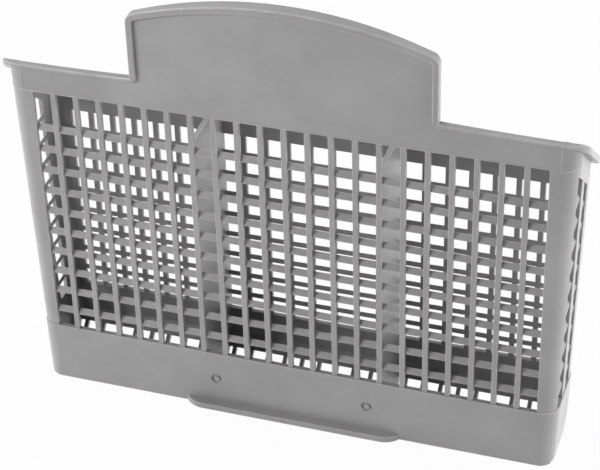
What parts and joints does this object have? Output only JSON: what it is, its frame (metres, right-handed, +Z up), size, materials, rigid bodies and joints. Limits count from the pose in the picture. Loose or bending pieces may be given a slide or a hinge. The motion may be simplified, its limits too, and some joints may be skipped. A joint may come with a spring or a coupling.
{
  "type": "dishwasher cutlery basket",
  "caption": "Slim one-piece dishwasher cutlery basket with louvred lattice walls, inner partitions, a ribbed floor, a sloping rim and an arched grip plate on its high front wall.",
  "frame": {"origin": "centre of the bounding box in plan, on the plane that the basket stands on", "axes": "+Z up, +X along the width to the right seen from the front, -Y towards the high front wall with the grip"},
  "size_m": [0.247, 0.043, 0.206],
  "materials": {
    "polypropylene": "satin moulded"
  },
  "bodies": {
    "root": {"basket": "polypropylene"}
  },
  "joints": []
}
